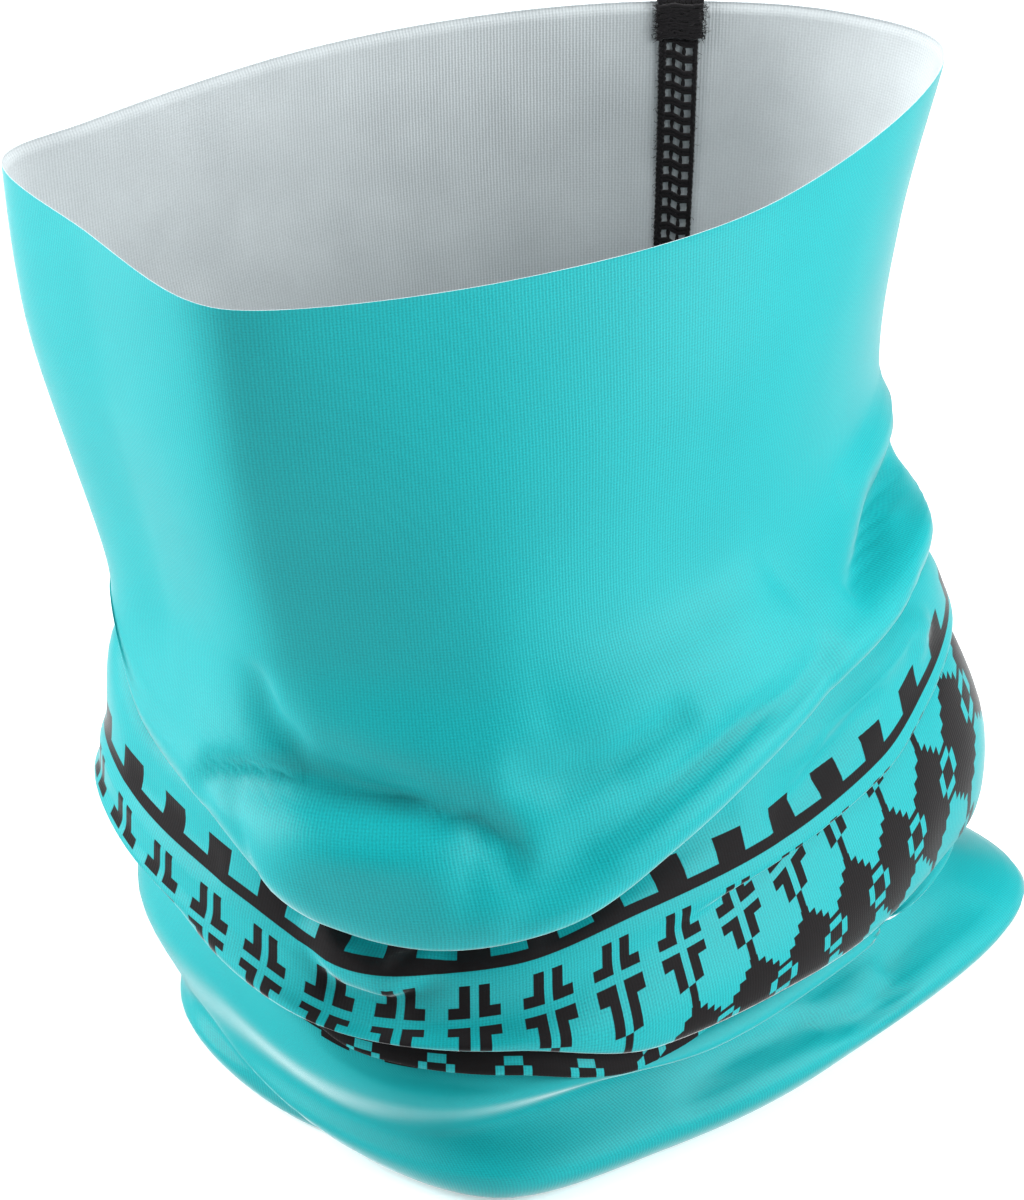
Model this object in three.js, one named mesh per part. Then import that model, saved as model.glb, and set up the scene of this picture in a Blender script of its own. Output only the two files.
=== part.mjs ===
// Neck gaiter: one printed stretch-knit panel sewn into a tube by a flat three-needle cover seam.
// The upper cloth stands open as a smooth collar. The lower cloth is bunched into three rolls round
// the neck of the wearer, and the collar is pulled up out of them.
// Millimetres, +Z up. The tube stands on its bottom roll, with the seam at the back (+Y).
import * as THREE from "three";

// Overall sizes
const girth = 450; // round the cloth, twice the width of the gaiter folded flat
const standHeight = 175; // from the surface it stands on to the cut rim
const lipHeight = 74; // mean height of the fold where the collar hangs over the rolls
const lipLean = 20; // how much the rolls rise towards the back, and fall towards the front
const levelRim = 15; // the top of the collar that stands level and straight
const pull = 40; // how far the collar is drawn up out of the rolls
const neckOverlap = pull + 16; // cloth tucked up inside the collar, so that some is left when pulled

// Cloth and rolls
const wall = 0.8; // one layer of brushed stretch knit
const rollDepth = 8; // how far each roll stands out of the tucks beside it
const lipCurl = 7; // cloth turned in under the collar's lip
const hemReturn = 14; // cloth turned up inside the bottom roll

// Seam
const seamWidth = 7; // between the outer needle lines' far edges
const stitchPitch = 3; // along the seam, from one crossing thread to the next
const needleThread = 0.8; // chain of needle and looper loops, across
const crossThread = 0.45; // the zigzag threads that lie under the chains
const threadGap = 0.3; // clearance between pieces that touch on the real seam
const bartackWidth = 8.5; // dense stitches that lock each end of the seam
const bartackLength = 6.5;
const bartackThick = 0.8;
const bartackGap = 0.5; // clearance round the cut edge, which is curved across the bartack

// How finely the shapes are cut
const roundSteps = 32; // facets round the tube; one of them lies flat under the seam
const bendPerRing = THREE.MathUtils.degToRad(24);
const longestRing = 14;
const spanDivisions = 20; // places measured between two points of a section
const threadSides = 4;

// Plan outlines seen from above, for the standard girth. Each has eight stations: right corner,
// back right, seam, back left, left corner, front left corner, front and front right.
const standardGirth = 450;
const seamStation = 2 / 8;
const rimPlan = [[77, 42], [58, 61], [31, 65], [-25, 49], [-87, -6], [-45, -64], [0, -52], [46, -22]];
const waistPlan = [[68, 28], [54, 48], [30, 56], [-24, 46], [-72, -6], [-40, -60], [2, -65], [46, -30]];
const lipPlan = [[76, 26], [60, 52], [31, 64], [-26, 52], [-75, -6], [-40, -66], [4, -74], [52, -36]];
const neckPlan = [[58, 20], [46, 39], [28, 46], [-23, 37], [-62, -7], [-36, -50], [0, -43], [38, -18]];
const basePlan = [[100, 24], [72, 56], [31, 66], [-25, 52], [-61, -12], [-38, -52], [8, -71], [60, -32]];

const materials = {
  cloth: new THREE.MeshStandardMaterial({ color: 0x4dd0d0, roughness: 0.62, metalness: 0 }),
  thread: new THREE.MeshStandardMaterial({ color: 0x15141a, roughness: 0.85, metalness: 0 }),
};

// The closed outline part-way between two neighbouring plans of a list.
function outlineAt(plans, plan) {
  const low = Math.min(Math.floor(plan), plans.length - 2);
  const share = plan - low;
  const scale = girth / standardGirth;
  const stations = plans[low].map(([x, y], i) => {
    const [nextX, nextY] = plans[low + 1][i];
    return new THREE.Vector3(x + (nextX - x) * share, y + (nextY - y) * share, 0).multiplyScalar(scale);
  });
  return new THREE.CatmullRomCurve3(stations, true, "centripetal");
}

// The rolls rise towards the back. The lean fades out at the floor and under the level rim.
function leanAt(around, height) {
  const highSide = 0.18;
  const below = (height - wall / 2) / (lipHeight - wall / 2);
  const above = (standHeight - levelRim - height) / (standHeight - levelRim - lipHeight);
  const fade = THREE.MathUtils.clamp(Math.min(below, above), 0, 1);
  return lipLean * fade * Math.cos(2 * Math.PI * (around - highSide));
}

// A length of cloth: its section runs down the tube through points of (offset out of the plan,
// height, which plan), and every point of the section is carried round its own plan outline.
class Cloth {
  constructor(plans, section) {
    this.plans = plans;
    this.section = new THREE.CatmullRomCurve3(
      section.map(([offset, height, plan]) => new THREE.Vector3(offset, height, plan)),
      false,
      "centripetal",
    );
    this.section.arcLengthDivisions = spanDivisions * (section.length - 1);
    this.length = this.section.getLength();
    this.rings = this.placeRings();
  }

  // The middle of the cloth's thickness. It lies flat where its section reaches the floor.
  middle(around, down) {
    const here = this.section.getPointAt(THREE.MathUtils.clamp(down / this.length, 0, 1));
    const outline = outlineAt(this.plans, THREE.MathUtils.clamp(here.z, 0, this.plans.length - 1));
    const turn = ((around % 1) + 1) % 1;
    const point = outline.getPoint(turn);
    const along = outline.getTangent(turn);
    const height = Math.max(here.y, wall / 2);
    point.x += along.y * here.x;
    point.y -= along.x * here.x;
    point.z = height + leanAt(around, height);
    return point;
  }

  // Unit directions at a point: round the tube, down the cloth, and out of its printed face.
  frame(around, down) {
    const nudge = 0.05;
    const turn = nudge / girth;
    const from = Math.max(down - nudge, 0);
    const to = Math.min(down + nudge, this.length);
    const side = this.middle(around + turn, down).sub(this.middle(around - turn, down)).normalize();
    const fall = this.middle(around, to).sub(this.middle(around, from)).normalize();
    const out = new THREE.Vector3().crossVectors(fall, side).normalize();
    return { side, fall, out };
  }

  // Places along the cloth for the rings of its wall: one at each point of the section, and as
  // many between two points as the cloth's bend and length there ask for.
  placeRings() {
    const lengths = this.section.getLengths();
    const places = [0];
    for (let span = spanDivisions; span < lengths.length; span += spanDivisions) {
      const from = places.at(-1);
      const to = lengths[span];
      const falls = [];
      for (let i = 0; i <= spanDivisions; i += 1) {
        falls.push(this.frame(seamStation, from + ((to - from) * i) / spanDivisions).fall);
      }
      const bend = falls.slice(1).reduce((sum, fall, i) => sum + fall.angleTo(falls[i]), 0);
      const steps = Math.ceil(Math.max(bend / bendPerRing, (to - from) / longestRing));
      for (let i = 1; i <= steps; i += 1) {
        places.push(from + ((to - from) * i) / steps);
      }
    }
    return places;
  }

  // A point on one of the cloth's two faces: 1 is the printed face and -1 the inner face.
  facePoint(around, down, face) {
    return this.middle(around, down).addScaledVector(this.frame(around, down).out, (face * wall) / 2);
  }

  // The wall as a closed ring: a lathe's grid of faces, moved onto the cloth's two faces.
  wallGeometry() {
    const loop = [
      ...this.rings.map((down) => ({ down, face: -1 })),
      ...this.rings.toReversed().map((down) => ({ down, face: 1 })),
    ];
    loop.push(loop[0]);
    const profile = loop.map(({ down, face }) => new THREE.Vector2(girth + face, -down));
    const geometry = new THREE.LatheGeometry(profile, roundSteps);
    const position = geometry.getAttribute("position");
    for (let turn = 0; turn <= roundSteps; turn += 1) {
      const around = ((turn % roundSteps) + 0.5) / roundSteps;
      loop.forEach(({ down, face }, i) => {
        const point = this.facePoint(around, down, face);
        position.setXYZ(turn * loop.length + i, point.x, point.y, point.z);
      });
    }
    return geometry;
  }

  // A point over the flat facet under the seam, at a distance across it and clear of one face.
  onSeam(down, across, face, clear) {
    const last = this.rings.length - 1;
    const above = Math.min(this.rings.findLastIndex((ring) => ring <= down), last - 1);
    const share = (down - this.rings[above]) / (this.rings[above + 1] - this.rings[above]);
    const edges = [-0.5, 0.5].map((half) => {
      const around = seamStation + half / roundSteps;
      const top = this.facePoint(around, this.rings[above], face);
      return top.lerp(this.facePoint(around, this.rings[above + 1], face), share);
    });
    const width = edges[0].distanceTo(edges[1]);
    const point = edges[0].lerp(edges[1], 0.5 + across / width);
    return point.addScaledVector(this.frame(seamStation, down).out, face * clear);
  }
}

// A path that is given by its corners and keeps each of them.
class CornerPath extends THREE.Curve {
  constructor(corners) {
    super();
    this.corners = corners;
  }

  getPoint(share, target = new THREE.Vector3()) {
    const place = share * (this.corners.length - 1);
    const before = Math.min(Math.floor(place), this.corners.length - 2);
    return target.lerpVectors(this.corners[before], this.corners[before + 1], place - before);
  }

  getPointAt(share, target) {
    return this.getPoint(share, target);
  }

  getTangentAt(share, target) {
    return this.getTangent(share, target);
  }
}

// A thread on one face of the seam, between two places along the cloth. A chain runs straight, and
// a crossing thread swings over the seam's whole width once for each stitch.
function threadGeometry(cloth, { from, to, shift, swing, face, clear, thick }) {
  const stitches = swing > 0 ? Math.floor((to - from) / stitchPitch) : 1;
  const places = cloth.rings.filter((ring) => ring > from && ring < to);
  for (let i = 0; i <= stitches; i += 1) {
    places.push(from + ((to - from) * i) / stitches);
  }
  const corners = [...new Set(places)].sort((a, b) => a - b).map((down) => {
    const beat = ((down - from) / (to - from)) * stitches;
    const swung = 2 * Math.abs(beat - 2 * Math.round(beat / 2)) - 1;
    return cloth.onSeam(down, shift + swing * swung, face, clear);
  });
  const section = new THREE.Shape();
  for (let i = 0; i < threadSides; i += 1) {
    const angle = (2 * Math.PI * (i + 0.5)) / threadSides;
    section[i ? "lineTo" : "moveTo"]((Math.cos(angle) * thick) / 2, (Math.sin(angle) * thick) / 2);
  }
  return new THREE.ExtrudeGeometry(section, {
    steps: corners.length - 1,
    extrudePath: new CornerPath(corners),
  });
}

// The bartack at one end of the seam: a channel of dense stitches folded over the cut edge.
function bartackGeometry(cloth, edge) {
  const inner = wall / 2 + bartackGap;
  const outer = inner + bartackThick;
  const section = new THREE.Shape();
  section.moveTo(-outer, -bartackLength);
  section.lineTo(-inner, -bartackLength);
  section.lineTo(-inner, bartackGap);
  section.lineTo(inner, bartackGap);
  section.lineTo(inner, -bartackLength);
  section.lineTo(outer, -bartackLength);
  section.lineTo(outer, bartackGap + bartackThick);
  section.lineTo(-outer, bartackGap + bartackThick);
  section.closePath();
  const geometry = new THREE.ExtrudeGeometry(section, { depth: bartackWidth, bevelEnabled: false });
  geometry.translate(0, 0, -bartackWidth / 2);
  const { fall, out } = cloth.frame(seamStation, edge);
  const beyond = edge === 0 ? fall.clone().negate() : fall.clone();
  const across = new THREE.Vector3().crossVectors(out, beyond).normalize();
  const place = new THREE.Matrix4().makeBasis(out, beyond, across);
  place.setPosition(cloth.onSeam(edge, 0, 1, -wall / 2));
  return geometry.applyMatrix4(place);
}

function piece(name, geometry, material) {
  const mesh = new THREE.Mesh(geometry, material);
  mesh.name = name;
  return mesh;
}

// The threads of the seam on one length of cloth, between the two given places along it. The cover
// thread on the printed face can end sooner, so that the gaiter stands on cloth and not on thread.
function seamPieces(prefix, cloth, from, to, coverTo = to) {
  const crossing = threadGap + crossThread / 2;
  const chain = crossing + crossThread / 2 + threadGap + needleThread / 2;
  const needleLine = (seamWidth - needleThread) / 2;
  const swing = (seamWidth - crossThread) / 2;
  const needles = { left: needleLine, centre: 0, right: -needleLine };
  const parts = Object.entries(needles).map(([name, shift]) => {
    const run = { from, to, shift, swing: 0, face: -1, clear: chain, thick: needleThread };
    return piece(prefix + "seam_needle_chain_" + name, threadGeometry(cloth, run), materials.thread);
  });
  const looper = { from, to, shift: 0, swing, face: -1, clear: crossing, thick: crossThread };
  const cover = { ...looper, face: 1, to: coverTo };
  parts.push(piece(prefix + "seam_looper_thread", threadGeometry(cloth, looper), materials.thread));
  parts.push(piece(prefix + "seam_cover_thread", threadGeometry(cloth, cover), materials.thread));
  return parts;
}

// The collar: from the cut rim down to the waist, out over the rolls and in under its lip.
const collarCloth = new Cloth([rimPlan, waistPlan, lipPlan], [
  [0, standHeight, 0],
  [0, lipHeight + (standHeight - lipHeight) * 0.7, 0.4],
  [0, lipHeight + (standHeight - lipHeight) * 0.35, 0.95],
  [0, lipHeight + 14, 1.6],
  [0, lipHeight + 4, 2],
  [-lipCurl / 2, lipHeight, 2],
  [-lipCurl, lipHeight + 4, 2],
]);

// The gathers: from the tuck inside the collar down through the three rolls to the turned-up hem.
const bandRoll = lipHeight - 10;
const plainRoll = lipHeight * 0.42;
const bottomRoll = 8;
const hemInside = -rollDepth - 4;
const gatherCloth = new Cloth([neckPlan, lipPlan, basePlan], [
  [0, lipHeight + neckOverlap, 0],
  [0, lipHeight + 12, 0],
  [-rollDepth, lipHeight - 3, 0.9],
  [0, bandRoll, 1],
  [0, bandRoll - 8, 1.1],
  [-rollDepth, (bandRoll + plainRoll) / 2, 1.3],
  [0, plainRoll + 5, 1.5],
  [0, plainRoll - 4, 1.7],
  [-rollDepth, (plainRoll + bottomRoll) / 2, 1.9],
  [0, bottomRoll + 3, 2],
  [0, bottomRoll - 3, 2],
  [-4, 0, 2],
  [hemInside + 2, 0, 2],
  [hemInside, 4, 2],
  [hemInside, hemReturn, 2],
]);

const seamStart = bartackLength + bartackGap + threadGap;
const standClear = 2 * (threadGap + crossThread);
const nearFloor = gatherCloth.rings.findIndex(
  (ring) => gatherCloth.facePoint(seamStation, ring, 1).z < standClear,
);
const coverEnd = gatherCloth.rings[nearFloor - 1];
const collar = new THREE.Group();
collar.add(
  piece("collar_cloth", collarCloth.wallGeometry(), materials.cloth),
  piece("top_bartack", bartackGeometry(collarCloth, 0), materials.thread),
  ...seamPieces("collar_", collarCloth, seamStart, collarCloth.length - threadGap),
);

const gathers = new THREE.Group();
gathers.add(
  piece("gathered_cloth", gatherCloth.wallGeometry(), materials.cloth),
  piece("bottom_bartack", bartackGeometry(gatherCloth, gatherCloth.length), materials.thread),
  ...seamPieces("gathers_", gatherCloth, threadGap, gatherCloth.length - seamStart, coverEnd),
);

// The origin is under the middle of the whole gaiter, on the surface it stands on.
const gaiter = new THREE.Group();
gaiter.add(collar, gathers);
const extent = new THREE.Box3().setFromObject(gaiter, true);
const centre = extent.getCenter(new THREE.Vector3());
gaiter.position.set(-centre.x, -centre.y, -extent.min.z);

export default gaiter;
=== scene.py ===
# %% [markdown]
# # A knitted neck gaiter, standing open
#
# A gaiter is one panel of stretch knit, sewn into a tube with a flat seam at the back. Here it
# stands on a table: the top is pulled open as a smooth collar, and the rest has slid down into
# folds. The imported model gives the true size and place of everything, so it is loaded first.

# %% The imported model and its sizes
import math

import bpy
import numpy as np
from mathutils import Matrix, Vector


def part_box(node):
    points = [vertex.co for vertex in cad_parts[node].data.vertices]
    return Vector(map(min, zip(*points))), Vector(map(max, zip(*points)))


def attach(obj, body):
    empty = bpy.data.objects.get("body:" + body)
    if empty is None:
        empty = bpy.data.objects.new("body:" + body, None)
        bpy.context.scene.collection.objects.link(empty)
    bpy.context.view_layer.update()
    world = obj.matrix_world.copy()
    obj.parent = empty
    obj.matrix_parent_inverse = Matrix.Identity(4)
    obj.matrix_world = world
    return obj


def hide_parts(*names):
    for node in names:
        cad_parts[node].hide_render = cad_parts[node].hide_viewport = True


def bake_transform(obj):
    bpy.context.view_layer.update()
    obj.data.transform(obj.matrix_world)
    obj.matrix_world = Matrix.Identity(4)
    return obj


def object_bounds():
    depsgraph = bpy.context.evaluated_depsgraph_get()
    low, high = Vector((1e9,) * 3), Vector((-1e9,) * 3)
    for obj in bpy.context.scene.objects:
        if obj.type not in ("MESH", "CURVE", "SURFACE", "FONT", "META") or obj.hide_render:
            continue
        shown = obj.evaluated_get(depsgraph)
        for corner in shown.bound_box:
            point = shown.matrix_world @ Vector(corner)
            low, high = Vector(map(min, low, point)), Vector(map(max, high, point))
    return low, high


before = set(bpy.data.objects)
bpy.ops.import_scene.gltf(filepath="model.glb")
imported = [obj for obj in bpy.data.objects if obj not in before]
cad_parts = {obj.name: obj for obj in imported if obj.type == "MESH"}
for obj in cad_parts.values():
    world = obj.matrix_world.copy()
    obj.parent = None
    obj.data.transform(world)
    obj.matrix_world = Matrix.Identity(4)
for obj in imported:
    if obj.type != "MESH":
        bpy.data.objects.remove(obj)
cad_low, cad_high = [list(corner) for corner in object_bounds()]
MM = 0.001
print("the model is", [round((b - a) / MM) for a, b in zip(cad_low, cad_high)], "mm")

# %% [markdown]
# ## The view
#
# The gaiter is seen from its front and from well above, so that the inside of the collar and the
# seam show. A long lens keeps the near rim and the far rim at nearly the same scale. The camera
# aims at the middle of the tube, a little below half its height.

# %% Camera
WATCH_HEIGHT = 85 * MM
WATCH_DISTANCE = 800 * MM
WATCH_TILT = math.radians(30)
FRAME_HEIGHT = 218.2 * MM  # what the frame's taller side takes in at that distance

collar_low, collar_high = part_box("collar_cloth")


def add_camera(aim, distance, tilt, frame_height):
    """A camera at the given distance from its aim, raised by the tilt, looking along +Y."""
    data = bpy.data.cameras.new("camera")
    data.sensor_width = 36
    data.lens = data.sensor_width * distance / frame_height
    camera = bpy.data.objects.new("camera", data)
    camera.location = aim + distance * Vector((0, -math.cos(tilt), math.sin(tilt)))
    camera.rotation_euler = (math.pi / 2 - tilt, 0, 0)
    bpy.context.collection.objects.link(camera)
    print("the lens is", round(data.lens), "mm long")
    return camera


# %% [markdown]
# ## The plan of the tube
#
# Seen from above, the tube is a soft triangle: a flat back that runs to a sharp left corner, a
# left front side, and a front that swings round to the right corner. Four outlines describe it, at
# the rim, at the waist, at the hanging lips and at the base. Each goes through a few stations in
# millimetres, counterclockwise from the right corner, and has more of them where it bends more.
# Every height then takes its plan from one outline or from a mixture of two.

# %% Outlines
COLUMNS = 260
RIM = [(77.5, 44), (60, 60), (31, 65), (0, 60), (-36, 43), (-74, 10), (-87, -5), (-70, -35), (-51, -61),
       (-41, -64), (0, -53), (44, -23)]
WAIST = [(67, 28), (54, 48), (30, 56), (-24, 46), (-72, -6), (-59, -36), (-42, -61), (-30, -65), (2, -64),
         (45, -30)]
LIP = [(75, 26), (60, 52), (31, 64), (-26, 52), (-75, -6), (-40, -66), (4, -74), (52, -36)]
BASE = [(100, 24), (72, 56), (31, 66), (-25, 52), (-62, -14), (-38, -52), (-3, -72), (30, -57), (61, -32)]
SEAM_STATION = 2
TURN = np.arange(COLUMNS) / COLUMNS


def closed_curve(stations, samples=40):
    """A closed centripetal Catmull-Rom curve through the stations, resampled to COLUMNS points
    at equal distances along it, counterclockwise from the seam."""
    points = np.array(stations, float)
    before, here, there, after = (np.roll(points, 1 - k, 0) for k in range(4))
    gap = [np.sqrt(np.linalg.norm(b - a, axis=1))[:, None]
           for a, b in ((before, here), (here, there), (there, after))]
    leave = gap[1] * ((here - before) / gap[0] - (there - before) / (gap[0] + gap[1])) + there - here
    arrive = gap[1] * ((after - there) / gap[2] - (after - here) / (gap[1] + gap[2])) + there - here
    t = (np.arange(samples) / samples)[None, :, None]
    a, b, m, n = (v[:, None] for v in (here, there, leave, arrive))
    curve = (2 * a - 2 * b + m + n) * t**3 + (3 * b - 3 * a - 2 * m - n) * t**2 + m * t + a
    curve = np.roll(curve.reshape(-1, 2), -SEAM_STATION * samples, 0)
    curve = np.vstack([curve, curve[:1]])
    run = np.r_[0, np.cumsum(np.linalg.norm(np.diff(curve, axis=0), axis=1))]
    return np.stack([np.interp(TURN * run[-1], run, curve[:, axis]) for axis in (0, 1)], -1)


rim, waist, lip, base = (closed_curve(plan) for plan in (RIM, WAIST, LIP, BASE))
PLAN_SHIFT = np.array([collar_low.x / MM - rim[:, 0].min(), collar_high.y / MM - rim[:, 1].max()])
print("plans are moved by", PLAN_SHIFT.round(1), "mm to stand where the packed collar stands")

# %% [markdown]
# ## The folds, as heights round the tube
#
# A fold is a line that runs round the tube and rises and falls on the way. Each one is given as a
# few pairs, a part of a turn and a value, counted from the seam counterclockwise: the left corner
# is at 0.32, the front left corner at 0.48, the front at 0.59 and the right corner at 0.87.


# %% A smooth value round the tube
def around(*pairs):
    """A value for every column from (turn, value) pairs: a cubic between neighbours, whose slope
    at a pair is the harmonic mean of the slopes beside it, and level at a top or a dip."""
    turn, value = np.array(pairs, float).T
    turn = np.concatenate([turn - 1, turn, turn + 1])
    value = np.tile(value, 3)
    width = np.diff(turn)
    slope = np.diff(value) / width
    same = slope[:-1] * slope[1:] > 0
    total = np.where(same, slope[:-1] + slope[1:], 1)
    level = np.r_[0, np.where(same, 2 * slope[:-1] * slope[1:] / total, 0), 0]
    i = np.clip(np.searchsorted(turn, TURN, "right") - 1, 0, len(width) - 1)
    t = (TURN - turn[i]) / width[i]
    start = (1 + 2 * t) * (1 - t) ** 2 * value[i] + t * (1 - t) ** 2 * width[i] * level[i]
    end = t * t * (3 - 2 * t) * value[i + 1] + t * t * (t - 1) * width[i] * level[i + 1]
    return start + end


lip_edge = around((0, 86), (0.12, 88), (0.25, 90), (0.32, 89), (0.375, 78), (0.43, 75), (0.49, 63),
                  (0.53, 61), (0.58, 64), (0.63, 73), (0.69, 82), (0.75, 88), (0.81, 89), (0.87, 85),
                  (0.94, 84))
border = around((0, 62), (0.12, 62), (0.25, 66), (0.32, 66), (0.375, 62), (0.4375, 58), (0.5, 52),
                (0.56, 54), (0.625, 58), (0.69, 59), (0.77, 61), (0.81, 66), (0.87, 72), (0.94, 66))
band_edge = around((0, 32), (0.12, 36), (0.25, 48), (0.32, 50), (0.375, 49), (0.4375, 42), (0.5, 39),
                   (0.5625, 38), (0.625, 31), (0.69, 30), (0.75, 28), (0.87, 28), (0.94, 29))
crease = around((0, 16), (0.25, 14), (0.375, 14), (0.44, 12), (0.5, 15), (0.5625, 18), (0.625, 19),
                (0.69, 19), (0.75, 20), (0.87, 19), (0.94, 17))
# where the right side's deep pleat is, and where a second lip peeks out under the band, 0 to 1
right_side = around((0, 0.6), (0.1, 0), (0.62, 0), (0.68, 0.35), (0.76, 0.9), (0.82, 1), (0.94, 1))
peek = around((0, 0), (0.44, 0), (0.5, 0.8), (0.58, 1), (0.64, 0.7), (0.7, 0), (0.9, 0))
print("the collar's lip hangs from", lip_edge.min().round(), "to", lip_edge.max().round(), "mm up")

# %% [markdown]
# ## The rings
#
# A ring is where the cloth is at one stage of its way down: a plan, a height and a distance out
# from the plan. A few rings make a lip and a few more the tuck behind it, so the whole gaiter, with
# everything that is hidden in its folds, is a short list. Each ring has a name, which is used later
# to place the print.


# %% Rings from the rim to the hem
def outward(plan):
    """Unit vectors that point out of a counterclockwise plan, from a chord of 12 columns across
    each point, so that they turn slowly round a corner and a deep tuck doesn't cross itself."""
    chord = np.roll(plan, -6, 0) - np.roll(plan, 6, 0)
    chord /= np.linalg.norm(chord, axis=1)[:, None]
    return np.stack([chord[:, 1], -chord[:, 0]], -1)


def mixed(first, second, share):
    """The plan that lies a share of the way from the first to the second."""
    share = np.broadcast_to(share, COLUMNS)[:, None]
    return first * (1 - share) + second * share


rings = {}


def ring(name, plan, height, out=0.0):
    """Adds a ring: the plan moved out along its normals, at the given height, as x, y, z rows."""
    place = plan + outward(plan) * np.broadcast_to(out, COLUMNS)[:, None] + PLAN_SHIFT
    rings[name] = np.column_stack([place, np.broadcast_to(height, COLUMNS)])


BAND_TOP = 155  # down the flat panel, to the band's upper edge
BAND_LENGTH = 78.8
BORDER_LINE = 6.6  # from that edge to the middle of the line under the teeth
RIM_HEIGHT = collar_high.z / MM

ring("top", rim, RIM_HEIGHT)
ring("rim_edge", rim, RIM_HEIGHT - 0.7)
taper = around((0, 0.3), (0.32, 0.17), (0.55, 0.35), (0.72, 0.6), (0.87, 0.7))
ring("shoulder", mixed(rim, waist, taper), around((0, 148), (0.32, 146), (0.55, 148), (0.87, 150)))
ring("narrow", waist, around((0, 118), (0.32, 99), (0.42, 103), (0.55, 108), (0.75, 114), (0.87, 120)))
belly_rise = around((0, 16), (0.25, 8), (0.32, 5), (0.42, 12), (0.55, 17), (0.75, 13), (0.87, 10))
lip_out = around((0, 1), (0.25, -1), (0.32, -3), (0.38, -1), (0.46, 3), (0.6, 4), (0.75, 2.5), (0.87, 2))
ring("belly", mixed(waist, lip, 0.6), lip_edge + belly_rise, 0.7 * lip_out)
ring("lip_front", lip, lip_edge + 4.5, lip_out)
ring("lip_bottom", lip, lip_edge, lip_out - 1.8)
ring("lip_under", lip, lip_edge + 0.8, lip_out - 4.5)
ring("lip_inside", lip, lip_edge + 5, lip_out - 8)
ring("tuck_top", lip, lip_edge + 3, lip_out - 11)
strip_out = around((0, -6), (0.32, -3.5), (0.42, -6), (0.5, -9), (0.6, -9), (0.72, -6), (0.8, -2), (0.87, 3))
ring("strip_top", lip, lip_edge - 5, strip_out)
border_out = around((0, -2), (0.32, -1), (0.5, -5), (0.6, -5), (0.72, -1), (0.8, 4), (0.87, 7))
ring("border", lip, border, border_out)
ring("pleat_edge", lip, border - 4, border_out + 1.2)
ring("pleat_under", lip, border - 5.5 + 2 * right_side, border_out + 1.3 - 1.8 * right_side)
ring("pleat_tuck", lip, border - 8 + 9 * right_side, border_out + 1.5 - 5.5 * right_side)
pleat_height = border - 11 + 3 * right_side
ring("pleat_out", lip, pleat_height, border_out + 2.5 - 1.5 * right_side)
band_out = around((0, 1), (0.32, -1.5), (0.5, 0), (0.6, 1), (0.72, 5), (0.8, 10), (0.87, 16))
ring("band_crest", lip, 0.4 * pleat_height + 0.6 * band_edge, band_out)
ring("band_lip", lip, band_edge, band_out - 1)
ring("band_under", lip, band_edge + 1, band_out - 3.5)
ring("band_tuck", lip, band_edge + 5, band_out - 8)
ring("peek_top", lip, band_edge + 2 - peek, band_out - 7 + 2 * peek)
ring("peek_lip", lip, band_edge - 6 * peek, band_out - 6.5 + 4.5 * peek)
ring("peek_under", lip, band_edge - 1 - 5 * peek, band_out - 6.5 + 2 * peek)
ring("peek_tuck", lip, band_edge - 2 - 1 * peek, band_out - 6.5 - 2.5 * peek)
roll_share = around((0, 0.4), (0.32, 0.5), (0.6, 0.4), (0.75, 0.55), (0.87, 0.65))
roll_height = crease + roll_share * (band_edge - crease)
ring("roll_top", lip, np.maximum(band_edge - 5 - 4 * peek, roll_height + 4), band_out - 6 + peek)
ring("roll_crest", mixed(lip, base, 0.5), roll_height, around((0, 0), (0.32, 1), (0.59, 0), (0.87, -1)))
ring("crease", mixed(lip, base, 0.75), crease, around((0, -3), (0.32, -3), (0.59, -8), (0.87, -10)))
ring("bottom_crest", base, 8, 0)
ring("floor", base, 0.2, -6)
ring("hem_turn", base, 6, -12)
ring("hem_end", base, 14, -13)
print(len(rings), "rings")

# %% [markdown]
# ## The cloth as one surface
#
# Down each column the rings are joined by a Catmull-Rom curve, the same kind as the plans, so the
# cloth rolls round each lip and into each tuck without a kink. That gives a grid of points, with the
# row at which each ring lies.


# %% Surface through the rings
LONGEST_STEP = 2.0


def down_columns(rows_of_rings, longest, least=5):
    """A grid through the rings, and each ring's row in it. In each gap between two rings there is a
    centripetal Catmull-Rom curve down every column, with at least the given rows, and rows no
    further apart on average than the longest step."""
    points = np.array(rows_of_rings)
    points = np.concatenate([2 * points[:1] - points[1:2], points, 2 * points[-1:] - points[-2:-1]])
    gap = np.maximum(np.linalg.norm(np.diff(points, axis=0), axis=2), 0.5) ** 0.5
    grid = []
    for k in range(1, len(points) - 2):
        before, here, there, after = points[k - 1:k + 3]
        g0, g1, g2 = (gap[k - 1 + j][:, None] for j in range(3))
        leave = g1 * ((here - before) / g0 - (there - before) / (g0 + g1)) + there - here
        arrive = g1 * ((after - there) / g2 - (after - here) / (g1 + g2)) + there - here
        rows = max(least, int(np.ceil(np.mean(gap[k] ** 2) / longest)))
        t = (np.arange(rows) / rows)[:, None, None]
        grid.append((2 * here - 2 * there + leave + arrive) * t**3
                    + (3 * there - 3 * here - 2 * leave - arrive) * t**2 + leave * t + here)
    grid.append(points[-2][None])
    return np.concatenate(grid), np.cumsum([0] + [len(part) for part in grid[:-1]])


surface, ring_starts = down_columns(list(rings.values()), LONGEST_STEP)
ring_row = dict(zip(rings, ring_starts))
print("grid", surface.shape)

# %% [markdown]
# ## Where each ring lies on the flat panel
#
# The print belongs to the flat cloth, so each point needs its distance down the panel. Within one
# visible fold that is the cloth's own length, and in a tuck it jumps by what the tuck swallows.
# A mark gives the distance at a ring, and between two marks it grows evenly with the cloth.

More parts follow.
